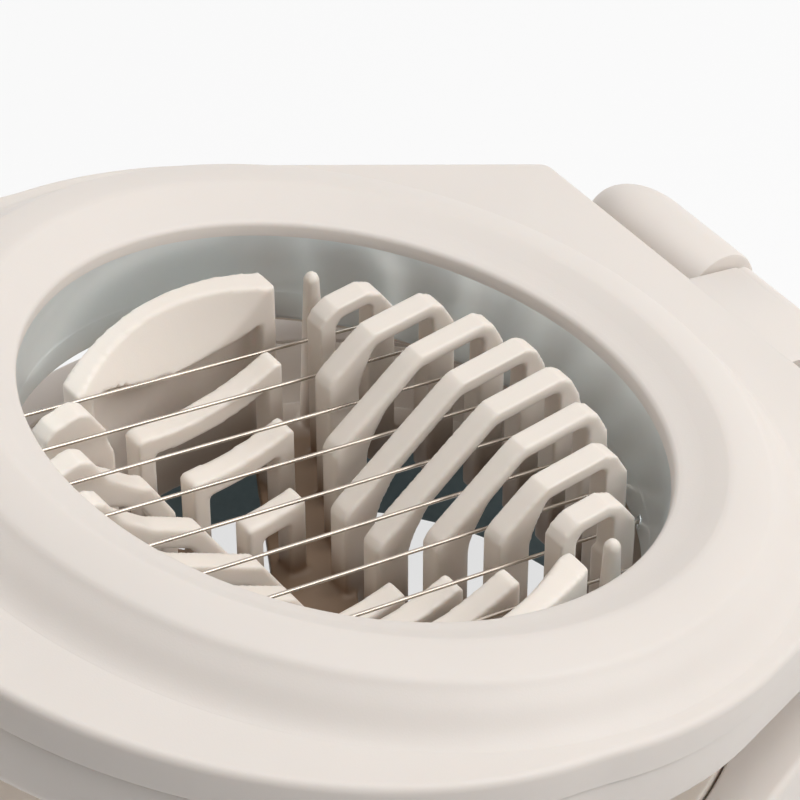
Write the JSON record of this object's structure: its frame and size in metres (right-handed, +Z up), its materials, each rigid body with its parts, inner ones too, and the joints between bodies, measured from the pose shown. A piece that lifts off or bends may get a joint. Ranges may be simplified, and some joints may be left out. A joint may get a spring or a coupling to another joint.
{
  "type": "egg slicer",
  "caption": "Round wire egg slicer: slotted egg bed in an open base, and a hinged frame with a steel ring of stretched cutting wires, standing partly open.",
  "frame": {"origin": "on the table, under the middle of the resting slicer's bounding box", "axes": "+Z up; +Y from the lifting tab to the hinge; +X along the hinge pin, to the right seen from the tab"},
  "size_m": [0.098, 0.128, 0.0632],
  "materials": {
    "shell": "smooth off-white moulded plastic, satin gloss",
    "bed": "off-white moulded plastic, slightly matt",
    "steel": "stainless steel, satin, turned marks round the ring",
    "liner": "dark blue-green non-slip rubber, matt"
  },
  "bodies": {
    "base": {"base_shell": "shell", "base_liner": "liner", "egg_bed": "bed", "bed_screws": "steel", "hinge_pin": "steel"},
    "cutter": {"frame_top": "shell", "frame_bottom": "shell", "frame_screws": "steel", "wire_ring": "steel", "wire_crimps": "steel", "wire_1": "steel", "wire_2": "steel", "wire_3": "steel", "wire_4": "steel", "wire_5": "steel", "wire_6": "steel", "wire_7": "steel", "wire_8": "steel", "wire_9": "steel"}
  },
  "joints": [
    {"name": "frame_hinge", "type": "hinge", "parent": "base", "child": "cutter", "pos_m": [0, 0.05857, 0.026], "axis": [-1, 0, 0], "range_deg": [-14.9, 95]}
  ]
}
